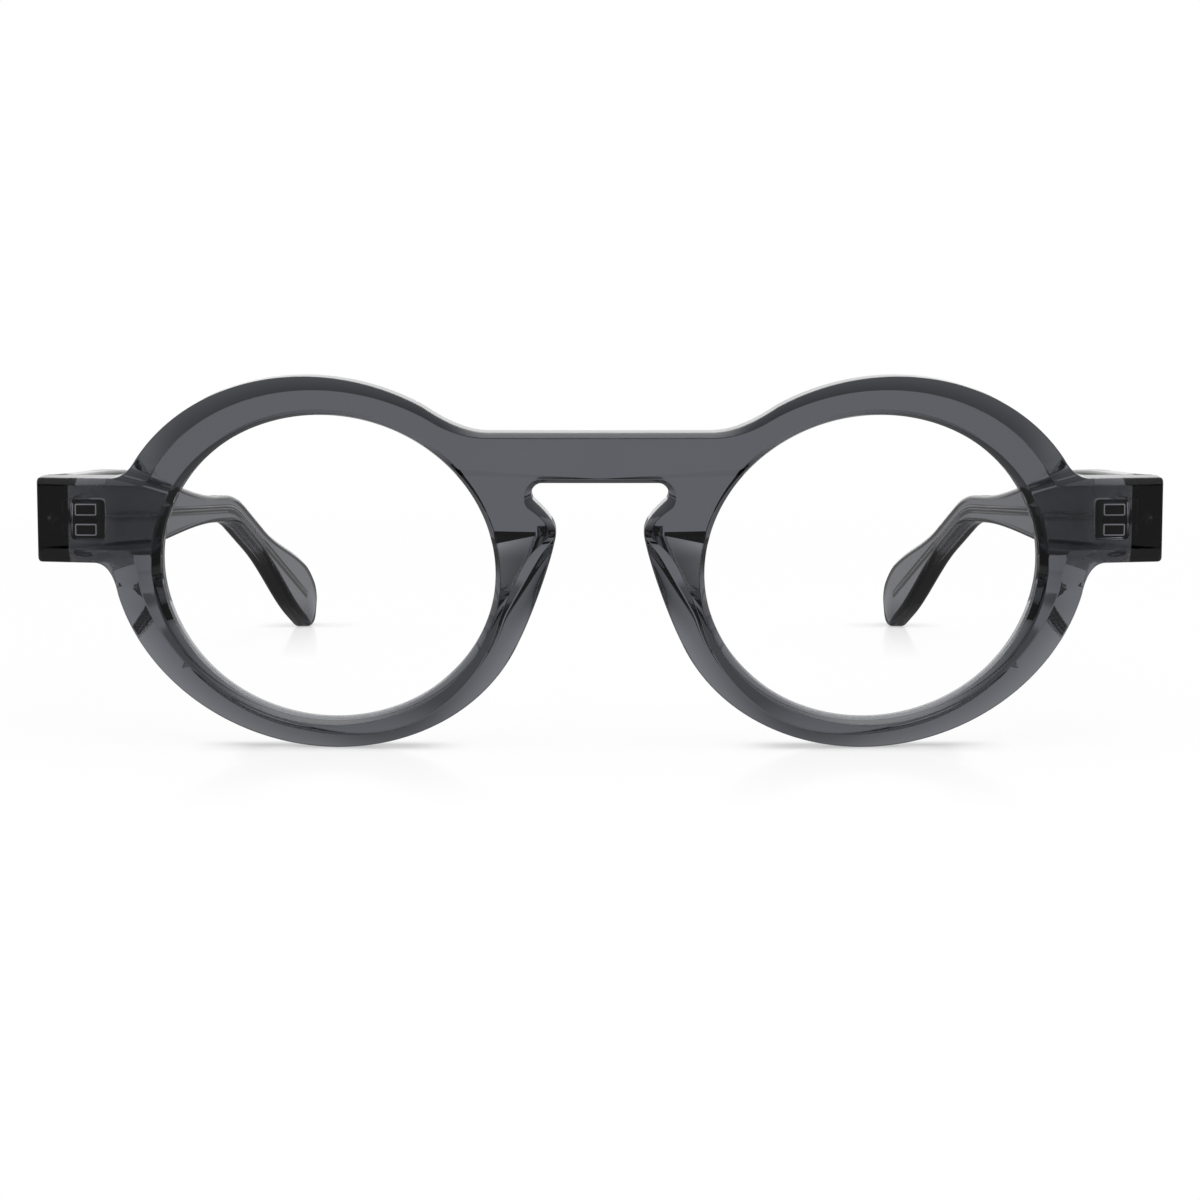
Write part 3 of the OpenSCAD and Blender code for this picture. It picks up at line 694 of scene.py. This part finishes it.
def hinge_pocket(side):
    """The pocket of the sunk leaf, with the tongue of acetate that stays between its anchors."""
    reach = leaf_w / 2 + fit_gap
    half_h = hinge_h / 2 + fit_gap
    bottom = lug_back - pocket_d
    middle = side * -leaf_mid
    low = (middle - reach, bottom, hinge_z - half_h)
    high = (middle + reach, lug_back + past_face, hinge_z + half_h)
    pocket = tool_box(low, high, pocket_r + fit_gap)
    outer = -leaf_mid + leaf_w / 2
    ends = sorted((side * (outer - tongue_len), side * (outer + past_face)))
    tongue = tool_box((ends[0], bottom - past_face, hinge_z - tongue_h / 2),
                      (ends[1], lug_back - leaf_t - fit_gap, hinge_z + tongue_h / 2))
    combine(pocket, tongue, "DIFFERENCE")
    return pocket


def pad_profile():
    """Share of the way to the nose side, and share of the thickness, round one section."""
    line = [(1.0, 0.0), (0.94, 0.3), (0.74, 0.7), (0.42, 1.0), (0.14, 0.9), (0.0, 0.45), (0.0, 0.0)]
    line = [Vector(p) for p in line]
    for _ in range(2):
        cut = [line[0]]
        for a, b in zip(line, line[1:]):
            cut += [mix(a, b, 0.25), mix(a, b, 0.75)]
        line = cut + [line[-1]]
    return line


def place_at(line, z):
    """How far out a line of points, sorted by height, lies at a height."""
    for (z0, x0), (z1, x1) in zip(line, line[1:]):
        if z <= z1:
            return mix(x0, x1, (z - z0) / (z1 - z0))
    return line[-1][1]


def make_pad(edge, side):
    """A nose pad between the cut-away's ridge and the nose side, thick above and thin below."""
    nose = sorted((p.y, p.x) for p, a in zip(edge, turns) if pad_from < a < pad_to)
    ridge = sorted((p.y, p.x) for a in turns if pad_from < a <= ledge_from
                   for p in [opening.grown(carve(a)[1]).at(a)])
    profile = pad_profile()
    points = []
    slant = pad_slant / (pad_top - pad_low)
    heights = [slant * t for t in steps(pad_slant_n)]
    heights += [mix(slant, 1, t) for t in steps(pad_n)] + [1.0]
    for u in heights:
        z = mix(pad_top, pad_low, u)
        thick = pad_t * (1 - pad_fall * smooth(u)) * min(1.0, pad_end + (pad_top - z) / pad_slant)
        inner = place_at(ridge, z) + pad_margin / 2
        outer = place_at(nose, z) - pad_margin
        for share, rise in profile:
            x = mix(inner, outer, share)
            points.append(Vector((x, front_t + wrap(x) + (thick * rise if rise else -pad_sunk), z)))
    return make_piece("pad", points, loft_faces(len(heights), len(profile)), side > 0)


def make_front():
    """The front in one piece with its pads, with a pocket for each sunk hinge leaf."""
    front, edge = front_shell()
    for side in (-1, 1):
        combine(front, make_pad(edge, side), "UNION")
        combine(front, hinge_pocket(side), "DIFFERENCE")
    finish_piece(front, front_acetate, "front", "front_acetate",
                 "front_frame", "nose_pad_left", "nose_pad_right")


# The temples: a straight run, an arc and a straight ear piece along their middle line
arm_len = 80.0
ear_len = 63.0
arm_slope = 5.0
ear_drop = 17.5
bend_r = 30.0
arm_toe = 8.4
arm_h = 10.9
arm_crown = 0.6
full_len = 24.0
waist_h = 4.1
waist_back = 6.0
paddle_h = 9.2
paddle_len = 41.0
paddle_full = 10.0
arm_t = 4.0
tip_t = 3.2
arm_edge = 0.9
arm_corner = 6
arm_around = 4 * arm_corner
arm_n = 40
ear_n = 64
tip_turn = 6
least_flat = 0.05
tip_least = 0.14
tip_thin = 0.35
butt_gap = 0.15
butt_round = 0.1
tip_step = 0.05
tip_less = 0.5
edge_break = 0.14
core_d = 1.3
core_from = 1.5
core_end = 8.0
core_around = 16
core_stations = 70
leaf_from = 1.0
leaf_len = 8.5
leaf_ease = 0.3
butt_y = lug_back + butt_gap
total_len = arm_len + ear_len
bend_len = bend_r * math.radians(ear_drop)
waist_at = arm_len - waist_back
tip_r = paddle_h / 2
tip_top = 11.0


def slope_at(s):
    """How steeply the temple falls at a length along it, in degrees."""
    return arm_slope + max(0.0, min(1.0, (s - arm_len) / bend_len)) * ear_drop


def middle(s):
    """The middle line's depth and height at a length along the temple."""
    run = min(s, arm_len)
    ear = max(0.0, s - arm_len - bend_len)
    first = turned(arm_slope)
    now = turned(slope_at(s))
    return Vector((butt_y + run * first.x + bend_r * (now.y - first.y) + ear * now.x,
                   hinge_z - run * first.y - bend_r * (first.x - now.x) - ear * now.y))


def arm_height(s):
    if s < waist_at:
        return mix(arm_h, waist_h, smooth((s - full_len) / (waist_at - full_len)))
    start = total_len - paddle_len
    return mix(waist_h, paddle_h, smooth((s - start) / (paddle_len - paddle_full)))


def arm_place(s, across, up):
    """A place in the temple: along its middle line, across it, and up from it."""
    m = middle(s)
    lean_back = turned(slope_at(s) * smooth(s / full_len))
    y = m.x + up * lean_back.y
    x = -(end_x - arm_t / 2) + math.tan(math.radians(arm_toe)) * (y - butt_y)
    return Vector((x + across, y, m.y + up * lean_back.x))


def closing_in(s, length):
    """Share of the full size over the last length, which closes the tip in a quarter round."""
    past = max(0.0, s - (total_len - length)) / length
    return max(tip_least, math.sqrt(max(0.0, 1 - past * past)))


def arm_section(s, less=0.0):
    """A rectangle with rounded edges, which closes in at the tip like the end of a spoon."""
    closing = closing_in(s, tip_r)
    wide = mix(arm_t, tip_t, s / total_len) * mix(1, closing, tip_thin) - less
    high = arm_height(s) * closing - less
    top = (arm_height(s) * min(closing, closing_in(s, tip_top)) - less) / 2
    r = min(arm_edge, top - least_flat, wide / 2 - least_flat)
    crown = arm_crown * smooth(s / full_len) * smooth((waist_at - s) / (waist_at - full_len))
    points = []
    for sx, sz, start in ((1, 1, 0), (-1, 1, 90), (-1, -1, 180), (1, -1, 270)):
        for k in range(arm_corner):
            out = turned(start + 90 / (arm_corner - 1) * k)
            across = sx * (wide / 2 - r) + r * out.x
            up = sz * ((top if sz > 0 else high / 2) - r) + r * out.y
            points.append(arm_place(s, across, up + (crown if up > 0 else 0)))
    return points


def core_tube(radius, start, end):
    """Sections of the wire, or of its bore, along the middle of the temple."""
    stations = [mix(start, end, t) for t in steps(core_stations)] + [end]
    points = [arm_place(s, *(radius * turned(360 / core_around * k)))
              for s in stations for k in range(core_around)]
    return points, loft_faces(len(stations), core_around)


def make_temple(side):
    """A temple with the bore of its wire and the pocket of its hinge leaf."""
    stations = [t * arm_len for t in steps(arm_n)]
    stations += [mix(arm_len, total_len - tip_r, t) for t in steps(ear_n)]
    stations += [total_len - tip_r * (1 - math.sin(math.radians(a)))
                 for a in range(0, 90, tip_turn)]
    sections = [arm_section(0, 2 * butt_round), arm_section(butt_round)]
    sections += [arm_section(s) for s in stations[1:]]
    sections += [arm_section(total_len - tip_step), arm_section(total_len, tip_less)]
    points = [p for section in sections for p in section]
    mirrored = side == "right"
    temple = make_piece("arm_" + side, points, loft_faces(len(sections), arm_around), mirrored)
    bore = core_tube(core_d / 2 + fit_gap, -past_face, total_len - core_end + fit_gap)
    combine(temple, make_piece("bore", *bore, mirrored), "DIFFERENCE")
    inner_x = end_x - arm_t
    half_h = hinge_h / 2 - leaf_ease + fit_gap
    lows = (inner_x - past_face, butt_y + leaf_from - fit_gap, hinge_z - half_h)
    highs = (inner_x + leaf_t + fit_gap, butt_y + leaf_from + leaf_len + fit_gap, hinge_z + half_h)
    turn = arm_toe
    if not mirrored:
        lows, highs = (-highs[0], lows[1], lows[2]), (-lows[0], highs[1], highs[2])
        turn = -arm_toe
    pocket = tool_box(lows, highs, 0.0, turn, (inner_x if mirrored else -inner_x, butt_y))
    combine(temple, pocket, "DIFFERENCE")
    finish_piece(temple, temple_acetate, "temple_arm_" + side, "temple_acetate", "temple_" + side)


def make_wire(side):
    wire = make_piece("wire_" + side, *core_tube(core_d / 2, core_from, total_len - core_end),
                      side == "right")
    finish_piece(wire, core_steel, "temple_arm_" + side, "core_steel", "core_wire_" + side)


def make_leaf(side):
    """The sunk hinge leaf, with its edges broken and given a glowing finish, a painted highlight along
    them.
    """
    leaf = copy_of("front_hinge_leaf_" + side, "sunk_leaf_" + side)
    leaf.data.materials.clear()
    leaf.data.materials.append(hinge_metal)
    leaf.data.materials.append(hinge_edge_glow)
    bm = bmesh.new()
    bm.from_mesh(leaf.data)
    bmesh.ops.dissolve_limit(bm, angle_limit=math.radians(1), verts=bm.verts, edges=bm.edges)
    upright = stand.inverted()
    sunk_y = lug_back - leaf_t + slack
    sharp = [e for e in bm.edges
             if len(e.link_faces) == 2 and e.calc_face_angle() > math.radians(50)
             and e.calc_length() > 3 * edge_break * mm
             and all((upright @ v.co).y < sunk_y for v in e.verts)]
    # The broken edges take the second, glowing material: a painted highlight
    bmesh.ops.bevel(bm, geom=sharp, offset=edge_break * mm, segments=1, profile=0.5,
                    affect="EDGES", material=1)
    bm.to_mesh(leaf.data)
    bm.free()
    # finish_piece sets every face back to the first material
    edges = [face.material_index for face in leaf.data.polygons]
    finish_piece(leaf, hinge_metal, "front", "hinge_metal", "front_hinge_leaf_" + side)
    leaf.data.materials.append(hinge_edge_glow)
    for face, index in zip(leaf.data.polygons, edges):
        face.material_index = index


def make_lens(side):
    lens = copy_of("lens_" + side, "glass_" + side)
    finish_piece(lens, lens_clear, "front", "clear_lens", "lens_" + side)


make_front()
for side in SIDES:
    make_temple(side)
    make_lens(side)
    make_wire(side)
    make_leaf(side)
    for node, material in (("temple_hinge_leaf_", hinge_metal), ("hinge_screw_", screw_steel)):
        data = frame["nodes"][node + side].data
        data.materials.clear()
        data.materials.append(material)


# The floor, the light and the camera. Seen through the acetate, the floor just behind the front is
# in its shade, and the studio is white at eye height and greyer above. What the skin mirrors is
# white behind and dim at the sides and low down, and the front of the studio is dark.
shade_level = 0.45
shade_from = (-0.055, -0.02)
shade_to = (0.06, 0.13)
above_level = 0.36
above_at = (0.0, 0.4)
side_level = 0.3
side_at = (0.1, 0.45)
skin_floor = 0.3
skin_behind = (0.3, 0.8)
mirror_dark = 0.06
dark_floor = (-0.25, -0.05)
dark_studio = (-0.7, 0.0)
fill_level = 0.7

# The floor is as white as the studio further off, and shows its own shadow more where a piece touches
# it; there the lit floor, greyer than the white, adds a painted shade band as well.
# There it mirrors a little too, when looked along.
shadow_share = 0.92
shadow_ends = (0.15, 0.45)
contact_share = 0.5
contact_deep = (0.001, 0.006)
gloss_deep = 0.05
gloss_behind = 0.004
gloss_look = (0.65, 0.88)
# For the rims and for the tips: how far back and how far out they touch, how far sideways the
# shadow and the reflection go, and how strong the reflection is
touches = ((-0.0712, 0.035, (0.010, 0.019), (0.012, 0.036), 0.1),
           (0.073, 0.05, (0.005, 0.010), (0.004, 0.012), 0.2))


def light_paths(nodes):
    """Whether the camera looks straight at a thing, whether it lights something matt, and whether
    the light was mirrored on its way: on the outer skin of a piece, or inside the acetate."""
    path = nodes.tree.nodes.new("ShaderNodeLightPath")
    names = ("Is Camera Ray", "Is Diffuse Ray", "Glossy Depth", "Transmission Depth")
    camera, diffuse, mirrored, passed = (Value(nodes.tree, path.outputs[name]) for name in names)
    mirrored = mirrored.clamped()
    within = mirrored * passed.clamped()
    return camera, diffuse, mirrored - within, within


def make_floor():
    f = Finish("floor_white")
    place = f.place()
    x, y = f.parts(place)[:2]
    side = x.math("ABSOLUTE")
    camera, diffuse, skin, within = light_paths(f)
    white = f.blend(f.noise(4.0, 2.0), rgb(0.90, 0.90, 0.90), rgb(0.92, 0.92, 0.92))
    lit = f.node("BsdfPrincipled", Base_Color=white, Roughness=0.6, Specular_IOR_Level=0.0)
    gloss = f.node("BsdfGlossy", Color=rgb(1, 1, 1), Roughness=0.12)
    shade = f.eased(y, *shade_from) * f.eased(y, *shade_to, 1.0, 0.0)
    through = 1.0 - shade * (1.0 - shade_level)
    lit_within = f.eased(y, *dark_floor, mirror_dark, 1.0)
    unseen = through * (1.0 - skin - within + skin * skin_floor + within * lit_within)
    seen = f.node("Emission", Color=rgb(1, 1, 1), Strength=camera + (1.0 - camera) * unseen)
    contact = sheen = 0.0
    for line, out, shadow_reach, gloss_reach, strength in touches:
        contact = contact + f.near(y, line, *contact_deep) * f.near(side, out, *shadow_reach)
        before = ((y - (line - gloss_deep)) / gloss_deep).clamped()
        before = before * f.eased(y, line, line + gloss_behind, 1.0, 0.0)
        sheen = sheen + before * f.near(side, out, *gloss_reach) * strength
    wide_share = f.eased(f.length(place), *shadow_ends, shadow_share, 1.0)
    # Where a piece touches, more lit floor shows: its real shadow and a painted shade band
    kept = wide_share - contact * (shadow_share - contact_share)
    share = (1.0 - diffuse) * (camera * kept + (1.0 - camera))
    ground = f.node("MixShader", i0=share, i1=lit, i2=seen)
    sheen = sheen * camera * f.eased(f.edge_on(), *gloss_look)
    f.surface(f.node("MixShader", i0=sheen, i1=ground, i2=gloss))
    bpy.ops.mesh.primitive_plane_add(size=6.0, location=(0, 1.5, 0))
    floor = bpy.context.object
    floor.name = "floor"
    bpy.ops.object.transform_apply(location=True, rotation=False, scale=False)
    floor.data.materials.append(f.material)


def make_world():
    world = bpy.data.worlds.new("studio")
    world.use_nodes = True
    bpy.context.scene.world = world
    w = Nodes(world.node_tree)
    camera, diffuse, skin, within = light_paths(w)
    x, y, z = w.parts(w.node("TexCoord", out=0))
    straight = w.eased(z, *above_at, 1.0, above_level)
    on_skin = w.eased(y, *skin_behind, mirror_dark, 1.0)
    on_skin = on_skin * w.eased(x.math("ABSOLUTE"), *side_at, 1.0, side_level)
    lit_within = w.eased(y, *dark_studio, mirror_dark, 1.0)
    seen = (1.0 - skin - within) * straight + skin * on_skin + within * lit_within
    strength = camera + (1.0 - camera) * (diffuse * fill_level + (1.0 - diffuse) * seen)
    background = w.node("Background", Color=rgb(1, 1, 1), Strength=strength)
    output = w.tree.nodes.new("ShaderNodeOutputWorld")
    w.tree.links.new(background.socket, output.inputs["Surface"])


def make_lamp(name, place, size, power):
    """A soft lamp turned to the glasses, which neither gloss nor clear acetate shows."""
    light = bpy.data.lights.new(name, "AREA")
    light.size = size
    light.energy = power
    lamp = bpy.data.objects.new(name, light)
    lamp.location = place
    glasses = Vector((0, 0, 0.02))
    lamp.rotation_euler = (glasses - lamp.location).to_track_quat("-Z", "Y").to_euler()
    lamp.visible_glossy = False
    lamp.visible_transmission = False
    bpy.context.collection.objects.link(lamp)


def make_camera():
    """The photo's camera, from what its perspective gives in the photo's pixels."""
    distance = 424.2 * mm
    height = 61.89 * mm
    foot_y = -71.83 * mm
    look_down = 5.780
    focal_px = 3340.0
    photo_px = 1200
    data = bpy.data.cameras.new("camera")
    data.sensor_width = 36.0
    data.lens = focal_px / photo_px * data.sensor_width
    data.clip_start = 0.01
    camera = bpy.data.objects.new("camera", data)
    camera.location = (0, foot_y - distance, height)
    camera.rotation_euler = (math.radians(90 - look_down), 0, 0)
    bpy.context.collection.objects.link(camera)
    bpy.context.scene.camera = camera


make_floor()
make_world()
make_lamp("key", place=(0.1, -0.3, 0.8), size=0.8, power=4.0)
make_camera()

bpy.context.scene.view_settings.view_transform = "Standard"
